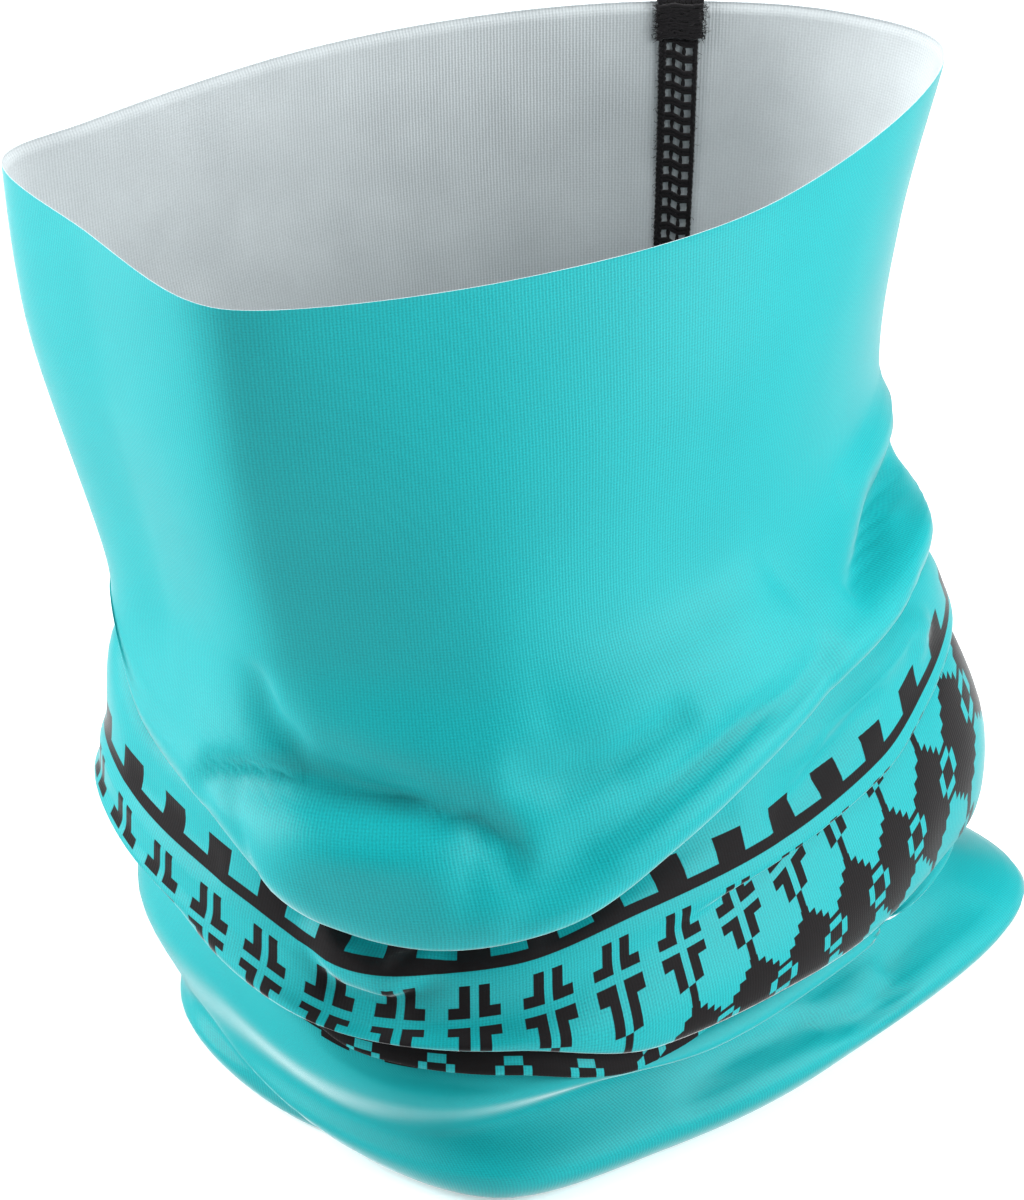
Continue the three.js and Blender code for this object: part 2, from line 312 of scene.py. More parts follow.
# %% Distance down the flat panel
run = np.vstack([np.zeros(COLUMNS), np.cumsum(np.linalg.norm(np.diff(surface, axis=0), axis=2), axis=0)])


def cloth_between(first, second):
    """The cloth's own length from one ring to another, in every column."""
    return run[ring_row[second]] - run[ring_row[first]]


BORDER_AT = BAND_TOP + BORDER_LINE
past_tuck = BAND_TOP + around((0, 30), (0.3, 20), (0.66, 20), (0.74, 25), (0.8, 28), (0.88, 34), (0.94, 30))
past_pleat = BORDER_AT + cloth_between("border", "pleat_out")
after_pleat = (1 - right_side) * past_pleat + right_side * past_tuck
at_band_lip = BAND_TOP + around((0, 70), (0.12, 60), (0.25, 36), (0.32, 25), (0.5, 25), (0.6, 27), (0.66, 40),
                                (0.72, 47), (0.8, 53), (0.84, 60), (0.88, 68), (0.94, 72))
at_peek = np.maximum(at_band_lip + 3, BAND_TOP + 32)
below_band = BAND_TOP + BAND_LENGTH + 2
panel_marks = [
    ("top", np.zeros(COLUMNS)),
    ("lip_bottom", cloth_between("top", "lip_bottom")),
    ("strip_top", BORDER_AT - cloth_between("strip_top", "border")),
    ("border", np.full(COLUMNS, BORDER_AT)),
    ("pleat_edge", BORDER_AT + cloth_between("border", "pleat_edge")),
    ("pleat_out", after_pleat),
    ("band_lip", at_band_lip),
    ("peek_top", at_peek),
    ("peek_lip", at_peek + cloth_between("peek_top", "peek_lip")),
    ("roll_top", np.full(COLUMNS, below_band)),
    ("hem_end", below_band + cloth_between("roll_top", "hem_end")),
]
panel = np.zeros(run.shape)
for (first, start), (second, end) in zip(panel_marks[:-1], panel_marks[1:]):
    rows = slice(ring_row[first], ring_row[second] + 1)
    share = (run[rows] - run[ring_row[first]]) / (run[ring_row[second]] - run[ring_row[first]])
    panel[rows] = start + (end - start) * share
PANEL_WIDTH = 450
PANEL_LENGTH = panel[-1].mean()
print("the flat panel is", PANEL_WIDTH, "by", PANEL_LENGTH.round(), "mm")

# %% [markdown]
# ## Creases
#
# Between the main folds the cloth is dented and pinched where it is pushed together. A crease
# follows a few points on the flat cloth, in millimetres round from the seam and down from the
# rim, and pushes the surface in or out beside that line. Each entry gives the points, how wide the
# brush is, how far it pushes (a minus is inwards) and how much it leans. It is the same as drawing
# a soft brush along the line, but it can be changed by a number.


# %% Creases pressed into the surface
def surface_normals(grid):
    """Unit normals from the differences along the rows and down the columns, pointing out."""
    along = np.roll(grid, -1, 1) - np.roll(grid, 1, 1)
    normal = np.cross(np.gradient(grid, axis=0), along)
    return normal / np.maximum(np.linalg.norm(normal, axis=2, keepdims=True), 1e-9)


def brush(points, width, depth, lean=0.0):
    """How far each grid point moves out for a soft line drawn on the cloth: depth times a bell of
    the distance from the line, fading to nothing at both ends. Lean makes the bell steeper on one
    side, so that it looks like cloth that starts to fall over."""
    place = np.stack([np.broadcast_to(TURN * PANEL_WIDTH, run.shape), run], -1)
    points = np.array(points, float)
    nearest = np.full(run.shape, 1e9)
    along = np.zeros(run.shape)
    side = np.zeros(run.shape)
    length = np.linalg.norm(np.diff(points, axis=0), axis=1)
    passed = 0.0
    for start, end, size in zip(points[:-1], points[1:], length):
        axis = (end - start) / size
        t = np.clip((place - start) @ axis, 0, size)
        off = place - start - t[..., None] * axis
        distance = np.linalg.norm(off, axis=-1)
        closer = distance < nearest
        nearest = np.where(closer, distance, nearest)
        along = np.where(closer, (passed + t) / length.sum(), along)
        side = np.where(closer, np.sign(axis[0] * off[..., 1] - axis[1] * off[..., 0]), side)
        passed += size
    fade = np.clip(4 * along * (1 - along), 0, 1) ** 0.7
    reach = width * (1 + lean * side)
    return depth * fade * np.exp(-(nearest / reach) ** 2)


CREASES = [
    # the long fold over the bump of the collar's front, with the hook at its right end
    ([(190, 99), (197, 93), (206, 90), (218, 88), (234, 89), (249, 92), (255, 97), (252, 106)],
     3.0, -4.4, 0.3),
    ([(207, 104), (222, 99), (238, 99), (247, 102)], 8.0, 4.4),
    ([(211, 68), (213, 77), (221, 83), (231, 86), (244, 89)], 4.0, -3.4, 0.3),
    ([(219, 74), (235, 79), (252, 83), (268, 80)], 7.0, 1.4),
    ([(256, 84), (266, 87), (276, 87), (292, 82)], 3.6, -3.0, 0.3),
    ([(266, 78), (284, 77), (302, 75), (322, 70)], 7.0, 2.0),
    # a small ledge under the lip, where the strip doubles over the border
    ([(213, 134), (220, 141), (229, 144), (240, 139)], 3.2, 3.4, 0.4),
    ([(212, 141), (220, 148), (231, 150), (240, 145)], 2.2, -2.2, 0.3),
    # the roll that runs down to the left above the collar's lip
    ([(252, 106), (265, 100), (282, 94), (299, 89), (312, 88), (326, 84)], 2.4, -3.6, 0.3),
    ([(250, 113), (258, 108), (270, 103)], 2.5, -1.2),
    # folds stacked at the right corner
    ([(392, 76), (378, 76), (364, 75), (350, 78), (336, 81)], 2.8, -4.2, 0.4),
    ([(396, 84), (378, 84), (356, 85), (341, 88), (322, 90)], 4.0, 3.4),
    ([(404, 66), (384, 66), (366, 65), (350, 66)], 4.0, 2.2),
    # the pocket between the lip and the band at the right
    ([(318, 129), (332, 124), (349, 122), (362, 122), (369, 126), (362, 130)], 2.2, 2.6),
    ([(312, 134), (330, 130), (350, 126)], 3.4, -2.6),
    # shallow waves in the strip under the lip and in the lowest rolls
    ([(258, 140), (274, 134), (292, 130), (306, 127)], 3.0, -2.4),
    ([(160, 131), (176, 132), (192, 134)], 4.0, -1.2),
    ([(258, 238), (276, 233), (296, 230), (322, 231), (352, 243)], 2.8, -3.2, 0.3),
    ([(290, 222), (312, 217), (332, 214), (360, 212)], 3.2, -2.6, 0.3),
    ([(150, 205), (168, 212), (186, 219), (204, 226)], 3.0, -2.2, 0.3),
]
dents = sum((brush(*entry) for entry in CREASES), np.zeros(run.shape))
surface = surface + surface_normals(surface) * dents[..., None]
print(len(CREASES), "creases go", -dents.min().round(1), "mm in and", dents.max().round(1), "mm out")

# %% [markdown]
# ## The mesh
#
# The grid becomes quads, wound so that the outside of the cloth faces out, with the panel's
# distances as its UV map, in metres. Solidify then gives the cloth its thickness inwards: the
# outside keeps the first material, the inside gets the second and the cut edges the third.


# %% Cloth object
WALL = 0.7


def new_mesh(name, points, faces, materials=()):
    """A mesh object at the origin from points in millimetres and faces, smooth shaded."""
    mesh = bpy.data.meshes.new(name)
    mesh.from_pydata((points * MM).tolist(), [], faces.tolist() if hasattr(faces, "tolist") else faces)
    mesh.polygons.foreach_set("use_smooth", np.ones(len(mesh.polygons), bool))
    for material in materials:
        mesh.materials.append(material)
    piece = bpy.data.objects.new(name, mesh)
    bpy.context.collection.objects.link(piece)
    return piece


def tube_cloth(name, grid, down):
    """The closed tube of cloth: quads between neighbouring columns and rows, with a UV map that
    unrolls the tube, so the last column's faces end at the full width of the panel."""
    rows, columns = grid.shape[:2]
    i, j = np.meshgrid(np.arange(rows - 1), np.arange(columns), indexing="ij")
    next_j = (j + 1) % columns
    corners = [(i, j, j), (i + 1, j, j), (i + 1, next_j, j + 1), (i, next_j, j + 1)]
    faces = np.stack([a * columns + b for a, b, _ in corners], -1).reshape(-1, 4)
    piece = new_mesh(name, grid.reshape(-1, 3), faces)
    uv = np.stack([np.stack([c / columns * PANEL_WIDTH, down[a, b]], -1) for a, b, c in corners], 2)
    piece.data.uv_layers.new(name="panel").data.foreach_set("uv", (uv * MM).reshape(-1))
    solid = piece.modifiers.new("wall", "SOLIDIFY")
    solid.thickness = WALL * MM
    solid.offset = -1
    solid.use_quality_normals = True
    solid.thickness_clamp = 1.0
    solid.material_offset = 1
    solid.material_offset_rim = 2
    return piece


cloth = tube_cloth("gaiter_cloth", surface, panel)
print("cloth has", len(cloth.data.polygons) * 4, "triangles with both sides")

# %% [markdown]
# ## Threads of the seam
#
# The seam is a flatlock seam, flat enough to lie on skin. On the inside its threads make a ladder:
# a thick chain on the left, a thin one on the right, two thin legs between them, and bulky rungs
# that run straight across and drop in the middle. All of it is laid on the cloth: a point of a
# thread is so far round from the seam, so far down from the rim and so far above the cloth.


# %% Laying a thread on the cloth
normals = surface_normals(surface)


def on_cloth(across, down, lift):
    """Points laid on the cloth: across is counted from the seam towards +X, down along the cloth
    from the rim, and lift above the inside of the cloth."""
    row = np.interp(down, run[:, 0], np.arange(len(run)))
    column = -across / PANEL_WIDTH * COLUMNS
    i = np.clip(row.astype(int), 0, len(run) - 2)
    j = np.floor(column).astype(int)
    a, b = (row - i)[..., None], (column - j)[..., None]
    found = []
    for field in (surface, normals):
        near = field[i, j % COLUMNS] * (1 - b) + field[i, (j + 1) % COLUMNS] * b
        far = field[i + 1, j % COLUMNS] * (1 - b) + field[i + 1, (j + 1) % COLUMNS] * b
        found.append(near * (1 - a) + far * a)
    return found[0] - found[1] * (WALL + np.asarray(lift))[..., None], -found[1]


def thread_mesh(paths, radius, sides=6):
    """Points and faces of closed tubes: each path is a line of points with a direction that is
    up from the cloth, and a ring of points stands round each of its points."""
    points, faces, count = [], [], 0
    turn = np.arange(sides) / sides * 2 * math.pi
    for line, up in paths:
        ahead = np.gradient(line, axis=0)
        ahead /= np.linalg.norm(ahead, axis=1)[:, None] + 1e-9
        side = np.cross(ahead, up)
        side /= np.linalg.norm(side, axis=1)[:, None] + 1e-9
        lift = np.cross(side, ahead)
        ring_points = (line[:, None] + radius * (np.cos(turn)[None, :, None] * side[:, None]
                                                 + np.sin(turn)[None, :, None] * lift[:, None]))
        i, j = np.meshgrid(np.arange(len(line) - 1), np.arange(sides), indexing="ij")
        k = (j + 1) % sides
        quads = np.stack([i * sides + j, i * sides + k, (i + 1) * sides + k, (i + 1) * sides + j], -1)
        faces += (quads.reshape(-1, 4) + count).tolist()
        faces.append([count + n for n in range(sides - 1, -1, -1)])
        faces.append([count + (len(line) - 1) * sides + n for n in range(sides)])
        points.append(ring_points.reshape(-1, 3))
        count += len(line) * sides
    return np.concatenate(points), faces


def thread_piece(name, paths, radius, material, sides=6):
    """A piece made of threads of one radius, in one material."""
    points, faces = thread_mesh(paths, radius, sides)
    return new_mesh(name, points, faces, [material])


# %% [markdown]
# ## Sums in a material
#
# A material works numbers out with Math nodes, one for each sum. That is hard to read as soon as
# there are more than a few, so a small class lets them be written as ordinary expressions, and
# `1 - mask` adds the nodes that do it.


# %% Shader expressions
class Value:
    """A number socket in a node tree, with operators that add Math nodes."""

    def __init__(self, nodes, socket):
        self.nodes, self.socket = nodes, socket

    def math(self, operation, *others, clamp=False):
        """The result of a Math node, held between 0 and 1 if clamp is true."""
        others = [o.socket if isinstance(o, Value) else o for o in others]
        settings = {"operation": operation, "use_clamp": clamp}
        made = self.nodes.add("ShaderNodeMath", settings, [self.socket, *others])
        return Value(self.nodes, made.outputs[0])

    def __add__(self, other):
        return self.math("ADD", other)

    def __radd__(self, other):
        return self.math("ADD", other)

    def __sub__(self, other):
        return self.math("SUBTRACT", other)

    def __rsub__(self, other):
        return (self * -1) + other

    def __mul__(self, other):
        return self.math("MULTIPLY", other)

    def __rmul__(self, other):
        return self.math("MULTIPLY", other)

    def __truediv__(self, other):
        return self.math("DIVIDE", other)

    def __mod__(self, other):
        return self.math("MODULO", other)

    def distance(self, other):
        return (self - other).math("ABSOLUTE")

    def most(self, other):
        return self.math("MAXIMUM", other)


# %% [markdown]
# ## A material's nodes
#
# Every other node is added by one method, which takes the node's type, its settings and what goes
# into its sockets. Colours are mixed by Mix nodes, because a Math node would turn them grey. What is
# the same all over the cloth is set on the shader itself.


# %% Material nodes
class Nodes:
    """The node tree of a new material, with methods that add nodes and link them."""

    def __init__(self, name):
        self.material = bpy.data.materials.new(name)
        self.material.use_nodes = True
        self.tree = self.material.node_tree
        self.shader = self.tree.nodes["Principled BSDF"]

    def add(self, kind, settings=None, inputs=()):
        """A node of one kind: its settings are set first, then its sockets, by place or by name."""
        node = self.tree.nodes.new(kind)
        for key, setting in (settings or {}).items():
            setattr(node, key, setting)
        pairs = inputs.items() if isinstance(inputs, dict) else enumerate(inputs)
        for key, given in pairs:
            self.put(node.inputs[key], given)
        return node

    def put(self, socket, given):
        """Links a socket to a value or output, or sets it to a number or colour."""
        given = given.socket if isinstance(given, Value) else given
        if isinstance(given, bpy.types.NodeSocket):
            self.tree.links.new(given, socket)
        else:
            socket.default_value = given

    def value(self, node, output=0):
        """One output of a node, as a number to calculate with."""
        return Value(self, node.outputs[output])

    def mix(self, share, first, second):
        """The colour that lies a share of the way from the first to the second."""
        node = self.add("ShaderNodeMix", {"data_type": "RGBA"})
        self.put(node.inputs["Factor"], share)
        self.put(node.inputs[6], first)
        self.put(node.inputs[7], second)
        return node.outputs[2]

    def noise(self, place, scale, detail, roughness):
        """A soft random pattern, 0 to 1. The scale is in patches per unit of the place."""
        settings = {"Vector": place, "Scale": scale, "Detail": detail, "Roughness": roughness}
        return self.value(self.add("ShaderNodeTexNoise", {}, settings))

    def bump(self, height, strength, distance):
        """Lets a height tilt the surface's normal. The distance is in metres."""
        settings = {"Height": height, "Strength": strength, "Distance": distance}
        self.put(self.shader.inputs["Normal"], self.add("ShaderNodeBump", {}, settings).outputs[0])

    def shade(self, settings):
        """Sets the shader's own sockets by their names."""
        for name, given in settings.items():
            self.put(self.shader.inputs[name], given)


def linear(red, green, blue):
    """A colour given as on a screen, 0 to 255, as the linear numbers that a shader takes."""
    parts = [c / 255 for c in (red, green, blue)]
    return (*[c / 12.92 if c <= 0.04045 else ((c + 0.055) / 1.055) ** 2.4 for c in parts], 1.0)


# %% [markdown]
# ## Print on the cloth
#
# The band is printed, so it is drawn in the material from the flat panel's own millimetres: 32
# repeats go round, and the lower half mirrors the upper. Each shape is a block with soft edges, and
# the blocks are joined by taking the largest.

# %% The band's shapes
REPEATS = 32
REPEAT = PANEL_WIDTH / REPEATS
EDGE = 10.0  # steepness of the print's edges, per millimetre

# The band's shapes, from and to in millimetres. A width is counted from the middle of a repeat, and
# one that starts below zero reaches over that middle. A depth is counted from the band's nearer
# edge, or from the cross. The squares are counted from a repeat's edge and from the band's middle.
TEETH_WIDE, TEETH_DEEP = (-1, 3.3), (0.8, 6)
LINE_DEEP = (5.5, 7.7)
CROSS_DEPTH = 17.5
BARS_WIDE, BARS_FROM_CROSS = (0.8, 2.9), (0.8, 7.2)
FEET_WIDE, FEET_FROM_CROSS = (2.7, 4.9), (0.8, 2.9)
STEM_WIDE, STEM_DEEP = (-1, 0.8), (24.7, 29)
STAIR_START, STAIR_TREAD, STAIR_RISE = 1, 1.55, 1.65
BODY_DEEP = (28.4, 60)
SQUARE_ENDS = (-1, 1.75), (1.75, 3.35)
SQUARE_SIDES = (1.75, 3.35), (-1, 1.65)


def soft_step(value):
    """0 below zero and 1 above it, with a ramp between them as steep as the print's edges."""
    return (value * EDGE).math("ADD", 0.5, clamp=True)


def between(value, low, high):
    """1 where a value lies between low and high and 0 outside, with a soft step at both."""
    return soft_step(value - low) * soft_step(high - value)


def block(first, first_range, second, second_range):
    """1 where both values lie in their ranges."""
    return between(first, *first_range) * between(second, *second_range)


def band_mask(across, down):
    """1 where the band is black. From its upper edge to its middle it has teeth, a line, a row of
    angle motifs round a cross, stems, and a black body with a stepped edge, in which small square
    rings are left open."""
    column = (across % REPEAT).distance(REPEAT / 2)
    middle = down.distance(BAND_LENGTH / 2)
    depth = BAND_LENGTH / 2 - middle
    teeth = block(column, TEETH_WIDE, depth, TEETH_DEEP)
    line = between(depth, *LINE_DEEP)
    from_cross = depth.distance(CROSS_DEPTH)
    bars = block(column, BARS_WIDE, from_cross, BARS_FROM_CROSS)
    feet = block(column, FEET_WIDE, from_cross, FEET_FROM_CROSS)
    stem = block(column, STEM_WIDE, depth, STEM_DEEP)
    stair = ((column - STAIR_START) / STAIR_TREAD).math("CEIL").most(0) * STAIR_RISE
    body = between(depth - stair, *BODY_DEEP)
    off_middle = REPEAT / 2 - column
    ring_ends = block(off_middle, SQUARE_ENDS[0], middle, SQUARE_ENDS[1])
    ring_sides = block(off_middle, SQUARE_SIDES[0], middle, SQUARE_SIDES[1])
    black = teeth.most(line).most(bars).most(feet).most(stem).most(body)
    return black * (1 - ring_ends.most(ring_sides))


print("a repeat of the band is", round(REPEAT, 2), "mm wide")

# %% [markdown]
# ## The knit
#
# The cloth is a fine, smooth knit with a silky face: ribs of stitches run down the panel 0.64 mm
# apart and the stitches follow each other every 0.5 mm. From a step away that is a faint grain, so
# it is done with bump and a little colour. The ink is duller than the yarn, so it is rougher.

# %% Cloth materials
WALE = 0.64
COURSE = 0.5
STITCH_HEIGHT = 0.3 * MM
BUMP_OUTSIDE, BUMP_INSIDE = 0.12, 0.2


def knit_heights(across, down):
    """The height of the knit's stitches, 0 to 1: rounded ribs side by side, with stitches that
    follow each other down them."""
    rib = (across * (2 * math.pi / WALE)).math("SINE")
    stitch = (down * (2 * math.pi / COURSE)).math("SINE")
    return rib * 0.35 + stitch * 0.15 + 0.5


def panel_place(nodes):
    """The distances round and down the panel in millimetres, from the UV map."""
    uv = nodes.add("ShaderNodeUVMap", {"uv_map": "panel"})
    split = nodes.add("ShaderNodeSeparateXYZ", {}, [uv.outputs[0]])
    across, down = nodes.value(split, "X") * 1000, nodes.value(split, "Y") * 1000
    flat = nodes.add("ShaderNodeVectorMath", {"operation": "SCALE"}, {0: uv.outputs[0], "Scale": 1000.0})
    return across, down, flat.outputs[0]


def outside_material():
    """Turquoise cloth with the black band, a fine grain and a satin sheen."""
    nodes = Nodes("printed outside")
    across, down, place = panel_place(nodes)
    mask = band_mask(across, down - BAND_TOP)
    grain = nodes.noise(place, 3.2, 2, 0.6)
    cloud = nodes.noise(place, 0.05, 2, 0.5)
    knit = knit_heights(across, down)
    tone = (grain - 0.5) * 0.9 + (knit - 0.5) * 0.4 + (cloud - 0.5) * 0.15 + 0.5
    turquoise = nodes.mix(tone.math("ADD", 0, clamp=True), linear(0, 114, 122), linear(2, 166, 168))
    ink = nodes.mix(grain, linear(4, 3, 4), linear(22, 18, 20))
    nodes.bump(knit * 0.6 + grain * 0.6, BUMP_OUTSIDE, STITCH_HEIGHT)
    nodes.shade({"Base Color": nodes.mix(mask, turquoise, ink),
                 "Roughness": 0.52 + (grain - 0.5) * 0.3 + mask * 0.3,
                 "Sheen Weight": 0.65, "Sheen Roughness": 0.28, "Specular IOR Level": 0.22})
    return nodes.material


def inside_material(name, light, dark, ribs):
    """The pale back of the knit, matt and brushed, with its ribs showing a little more."""
    nodes = Nodes(name)
    across, down, place = panel_place(nodes)
    grain = nodes.noise(place, 2.5, 3, 0.6)
    patch = nodes.noise(place, 0.08, 2, 0.5)
    knit = knit_heights(across, down)
    tone = ((grain - 0.5) * 0.7 + (knit - 0.5) * ribs + (patch - 0.5) * 0.5).math("ADD", 0.5, clamp=True)
    nodes.bump(knit + grain, BUMP_INSIDE, STITCH_HEIGHT)
    nodes.shade({"Base Color": nodes.mix(tone, dark, light), "Roughness": 0.85,
                 "Sheen Weight": 0.2, "Specular IOR Level": 0.15})
    return nodes.material


grey_light, grey_dark = linear(204, 211, 213), linear(165, 172, 175)
edge_light, edge_dark = linear(225, 232, 234), linear(150, 185, 190)
cloth.data.materials.append(outside_material())
cloth.data.materials.append(inside_material("grey inside", grey_light, grey_dark, 0.35))
cloth.data.materials.append(inside_material("cut edge", edge_light, edge_dark, 0.5))
print("cloth materials:", [material.name for material in cloth.data.materials])

# %% [markdown]
# ## Thread
#
# The seam is sewn with bulked polyester thread: soft, matt and slightly hairy, which hides the
# single threads in a black mass. Fine fibres show in its colour and its bump.


# %% Thread material
FIBRES = 4000.0  # patches per metre, so a fibre is about a quarter of a millimetre
FIBRE_HEIGHT = 0.2 * MM


def thread_material():
    """Black, matt thread whose fibres show in its colour and bump."""
    nodes = Nodes("bulked thread")
    place = nodes.add("ShaderNodeTexCoord").outputs["Object"]
    fibre = nodes.noise(place, FIBRES, 2, 0.6)
    nodes.bump(fibre, 0.6, FIBRE_HEIGHT)
    nodes.shade({"Base Color": nodes.mix(fibre, linear(6, 6, 7), linear(34, 32, 34)), "Roughness": 0.9,
                 "Sheen Weight": 0.15, "Specular IOR Level": 0.1})
    return nodes.material


black_thread = thread_material()
print("thread material:", black_thread.name)

# %% [markdown]
# ## Chains and rungs
#
# Each chain is a braid of strands that swing round each other once in a stitch. The crossing
# threads are long lines that go to and fro: two for the looper thread on the inside, and two
# thinner ones for the cover thread on the outside of the cloth.

# %% Chains, rungs and cover thread
PITCH = 3.0  # millimetres from one stitch to the next
STITCH_POINTS = 12
SEAM_EDGE = 3.1  # from the seam's middle to its outer chains
SEAM_LEG = 0.95  # from the seam's middle to its inner legs
SEAM_START = 6.0  # down from the rim, under the bartack
SEAM_END = run[-1, 0] - 7.5
RUNG_SHAPE = [-1, -0.85, -0.6, -0.36, -0.15, 0.15, 0.36, 0.6, 0.85, 1]  # shares of the half width
RUNG_DROP = 0.55


def chain_paths(across, swing, thickness, strands=3):
    """Strands that braid round each other along the seam: each swings from side to side once in
    a stitch and up and down twice, a share of a turn after the one before."""
    down = np.arange(SEAM_START, SEAM_END, PITCH / STITCH_POINTS)
    paths = []
    for strand in range(strands):
        phase = 2 * math.pi * (down / PITCH + strand / strands)
        lift = thickness * (1.2 + 0.5 * np.sin(2 * phase))
        paths.append(on_cloth(across + swing * np.sin(phase), down, lift))
    return paths


def rung_path(shift, lift):
    """One thread that crosses the seam at every stitch, there and back. A rung is level near both
    edges and drops from one inner leg to the other."""
    rungs = np.arange(SEAM_START + PITCH / 2, SEAM_END - PITCH / 2, PITCH)
    across = np.array(RUNG_SHAPE) * SEAM_EDGE
    drop = np.clip(across / SEAM_LEG, -1, 1) * RUNG_DROP
    back = np.arange(len(rungs)) % 2 == 1
    across = np.where(back[:, None], across[::-1], across)
    drop = np.where(back[:, None], drop[::-1], drop)
    down = (rungs[:, None] + drop + shift).reshape(-1)
    return on_cloth(across.reshape(-1), down, np.full(down.shape, lift))


inner_legs = chain_paths(-SEAM_LEG, 0.16, 0.22, 2) + chain_paths(SEAM_LEG, 0.16, 0.22, 2)
SEAM_THREADS = {
    # name: the paths and the radius of one strand
    "seam_chain_left": (chain_paths(-SEAM_EDGE, 0.42, 0.34), 0.36),
    "seam_chain_centre": (inner_legs, 0.24),
    "seam_chain_right": (chain_paths(SEAM_EDGE, 0.24, 0.26), 0.27),
    "seam_looper_thread": ([rung_path(-0.36, 0.36), rung_path(0.36, 0.36)], 0.42),
    "seam_cover_thread": ([rung_path(-0.3, -WALL - 0.3), rung_path(0.3, -WALL - 0.3)], 0.3),
}
seam_pieces = {name: thread_piece(name, paths, radius, black_thread)
               for name, (paths, radius) in SEAM_THREADS.items()}
print("the seam has", sum(len(paths) for paths, _ in SEAM_THREADS.values()), "strands")

# %% [markdown]
# ## Bartacks
#
# A bartack is a block of stitches sewn to and fro over the end of the seam, so dense that no cloth
# shows. It wraps the cut edge at the top, and its thread ends fray into short hairs.

# %% Bartacks
TACK_WIDTH = 8.5
TACK_LENGTH = 6.5
TACK_STEP = 0.55  # from one laid thread to the next
TACK_THREAD = 0.42
TACK_START = 0.5
BOTTOM_TACK_START = run[-1, 0] - 7.2
HAIR_SIDES = 3
RIM_HAIR, SEAM_HAIR = 0.05, 0.045
rng = np.random.default_rng(7)


def tack_paths(start, length, layers, outside=False):
    """Threads laid across the seam side by side, in layers, with uneven ends and a slight crown."""
    paths = []
    for layer in range(layers):
        for down in np.arange(start, start + length, TACK_STEP):
            half = TACK_WIDTH / 2 * (1 - 0.05 * layer) + rng.uniform(-0.3, 0.35)
            across = np.linspace(-half, half, 14)
            wave = rng.uniform(-0.25, 0.25, 14) + 0.15 * np.sin(across)
            crown = 0.35 + 0.32 * layer + 0.3 * (1 - (across / half) ** 2)
            lift = -WALL - crown if outside else crown
            paths.append(on_cloth(across, np.clip(down + wave, 0.05, None), lift))
    return paths


def over_edge_paths(count):
    """Stitches that wrap the cut rim: half circles over the edge, from the inside to the outside."""
    paths = []
    angle = np.linspace(0, math.pi, 9)
    for across in np.linspace(-TACK_WIDTH / 2 + 0.3, TACK_WIDTH / 2 - 0.2, count):
        wide = np.full(angle.shape, across) + rng.uniform(-0.15, 0.15)
        place, up = on_cloth(wide, np.zeros(9), -WALL / 2 + (WALL / 2 + 0.35) * np.cos(angle))
        place[:, 2] += 1.1 * np.sin(angle) - 0.15
        up = up * np.cos(angle)[:, None] + np.array([0, 0, 1]) * np.sin(angle)[:, None]
        paths.append((place, up))
    return paths


def hair_paths(count, down_range, across_choices, length):
    """Short curved hairs that stand off the threads near the given places."""
    paths = []
    for _ in range(count):
        across = rng.choice(across_choices) + rng.normal(0, 0.25)
        down = rng.uniform(*down_range)
        reach = rng.uniform(0.5, 1) * length
        heading = rng.uniform(-1, 1) * 1.3 + (0 if across > 0 else math.pi)
        t = np.linspace(0, 1, 5)
        bend = heading + rng.uniform(-1, 1) * t
        hair_across = across + reach * t * np.cos(bend)
        hair_down = np.clip(down + reach * t * np.sin(bend), 0.1, None)
        lift = 0.3 + rng.uniform(0, 0.6) + 0.4 * t * rng.uniform(-1, 1)
        paths.append(on_cloth(hair_across, hair_down, lift))
    return paths


top_paths = tack_paths(TACK_START, TACK_LENGTH, 2)
top_paths += tack_paths(TACK_START, TACK_LENGTH - 1.5, 1, outside=True)
top_paths += over_edge_paths(15)
bottom_paths = tack_paths(BOTTOM_TACK_START, TACK_LENGTH, 2)
top_hairs = hair_paths(260, (0, 7), [-4.2, -3.9, 3.9, 4.2, -2, 2], 1.3)
seam_hairs = hair_paths(380, (7, 75), [-3.5, -3.3, -3.5, 3.3], 0.9)

top_tack = thread_piece("bartack_top", top_paths, TACK_THREAD, black_thread)
bottom_tack = thread_piece("bartack_bottom", bottom_paths, TACK_THREAD, black_thread)
top_fuzz = thread_piece("bartack_top_fuzz", top_hairs, RIM_HAIR, black_thread, HAIR_SIDES)
seam_fuzz = thread_piece("seam_fuzz", seam_hairs, SEAM_HAIR, black_thread, HAIR_SIDES)
for piece in (*seam_pieces.values(), top_tack, bottom_tack, top_fuzz, seam_fuzz):
    print(piece.name, "has", len(piece.data.polygons), "faces")

# %% [markdown]
# ## Light and table
#
# Two tall softboxes stand at the sides, the left one stronger, and no light stands in front. So the
# sides of the tube are bright and its front is deep, which is what makes satin cloth look round. A
# third light above fills the inside. It and the pale table are kept out of the cloth's gloss,
# because their white would wash out the black print.


# %% Lights and floor
LIGHT_AIM_HEIGHT = 90 * MM
SOFTBOXES = [
    # name, place and size in metres, watts, whether the cloth's gloss shows it
    ("left softbox", (-0.9, 0.02, 0.32), (0.4, 1.0), 20, True),
    ("right softbox", (0.85, -0.25, 0.35), (0.6, 1.0), 17, True),
    ("top softbox", (0.0, 0.1, 1.1), (0.9, 0.9), 12.5, False),
]
TABLE_HALF = 4.0
TABLE_GLOW = 0.35
ROOM_LIGHT = 0.1


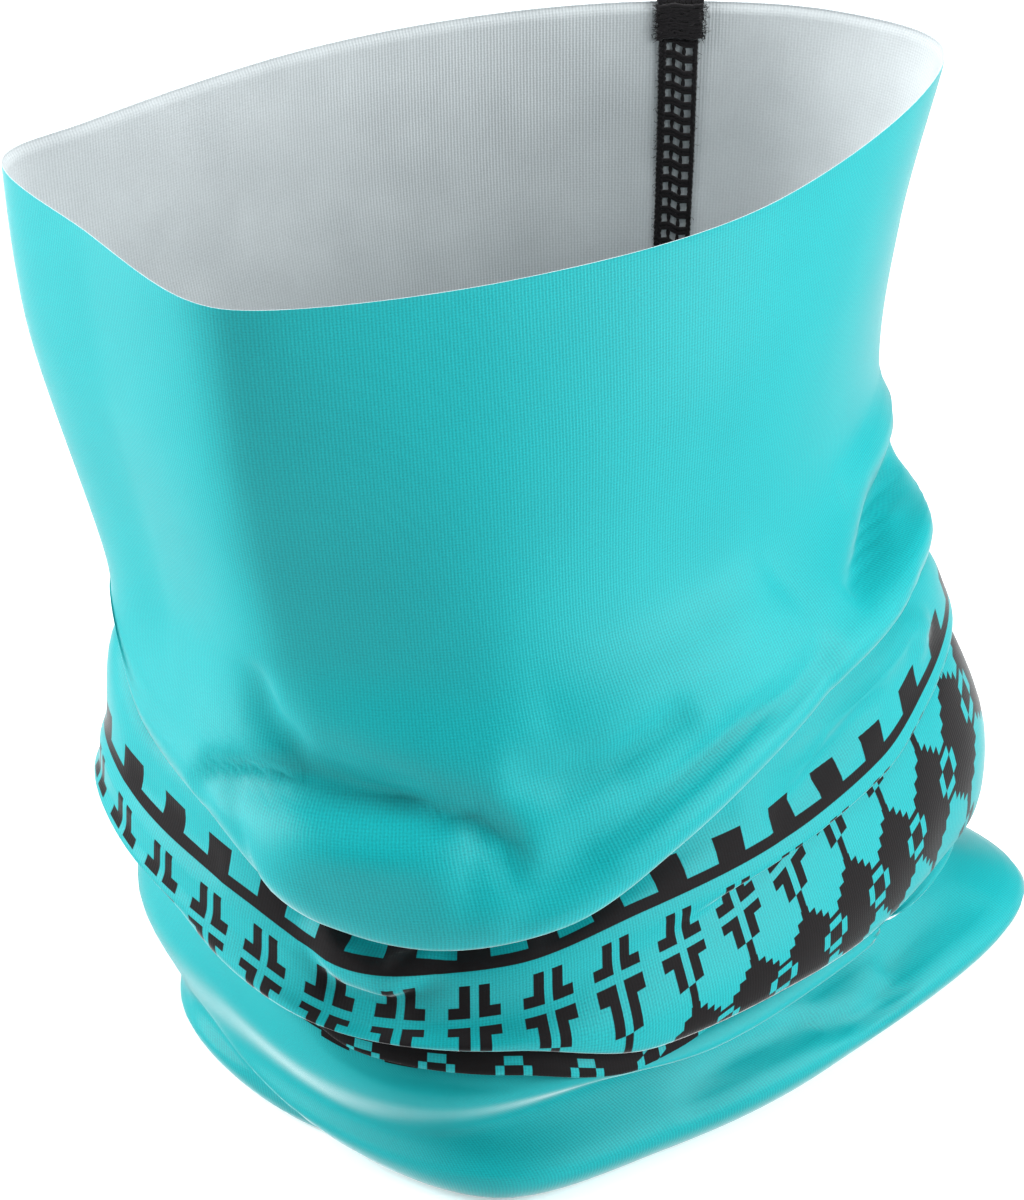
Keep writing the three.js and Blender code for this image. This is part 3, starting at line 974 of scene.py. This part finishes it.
def softbox(name, place, size, power, glossy, aim):
    """A rectangular light that faces the aim."""
    data = bpy.data.lights.new(name, "AREA")
    data.shape = "RECTANGLE"
    data.size, data.size_y = size
    data.energy = power
    light = bpy.data.objects.new(name, data)
    light.location = place
    light.rotation_euler = (Vector(aim) - Vector(place)).to_track_quat("-Z", "Y").to_euler()
    light.visible_glossy = glossy
    bpy.context.collection.objects.link(light)
    print(name, "has", power, "W")


light_aim = ((cad_low[0] + cad_high[0]) / 2, (cad_low[1] + cad_high[1]) / 2, LIGHT_AIM_HEIGHT)
for settings in SOFTBOXES:
    softbox(*settings, light_aim)

floor_mesh = bpy.data.meshes.new("table")
corners = [(x * TABLE_HALF, y * TABLE_HALF, 0) for x, y in ((-1, -1), (1, -1), (1, 1), (-1, 1))]
floor_mesh.from_pydata(corners, [], [(0, 1, 2, 3)])
floor = bpy.data.objects.new("table", floor_mesh)
bpy.context.collection.objects.link(floor)
paint = Nodes("pale table")
paint.shade({"Base Color": (0.93, 0.93, 0.93, 1), "Roughness": 0.9, "Specular IOR Level": 0.0,
             "Emission Color": (1, 1, 1, 1), "Emission Strength": TABLE_GLOW})
floor.visible_glossy = False
floor_mesh.materials.append(paint.material)

world = bpy.data.worlds.new("room")
world.use_nodes = True
background = world.node_tree.nodes["Background"]
background.inputs["Color"].default_value = (0.95, 0.97, 1, 1)
background.inputs["Strength"].default_value = ROOM_LIGHT
bpy.context.scene.world = world
bpy.context.scene.view_settings.view_transform = "Standard"

aim_place = Vector((PLAN_SHIFT[0] * MM, PLAN_SHIFT[1] * MM, WATCH_HEIGHT))
bpy.context.scene.camera = add_camera(aim_place, WATCH_DISTANCE, WATCH_TILT, FRAME_HEIGHT)

# %% [markdown]
# ## What moves with what
#
# The collar can be drawn up out of the rolls, so the cloth and the seam run from the collar
# to the gathers. Here the cloth, the seam's threads, their hairs and the top bartack keep their
# places, baked into their points, and are joined to no moving body. The bottom bartack rides with
# the gathers. The imported stand-ins for the cloth, the seam and the bartacks are hidden.

for piece in (cloth, *seam_pieces.values(), seam_fuzz, top_tack, top_fuzz):
    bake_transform(piece)
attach(bottom_tack, "gathers")
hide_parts("collar_cloth", "gathered_cloth")
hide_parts("collar_seam_needle_chain_left", "gathers_seam_needle_chain_left")
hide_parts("collar_seam_needle_chain_centre", "gathers_seam_needle_chain_centre")
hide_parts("collar_seam_needle_chain_right", "gathers_seam_needle_chain_right")
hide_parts("collar_seam_looper_thread", "gathers_seam_looper_thread")
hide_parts("collar_seam_cover_thread", "gathers_seam_cover_thread")
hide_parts("top_bartack")
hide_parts("bottom_bartack")
PANEL_LENGTH * MM
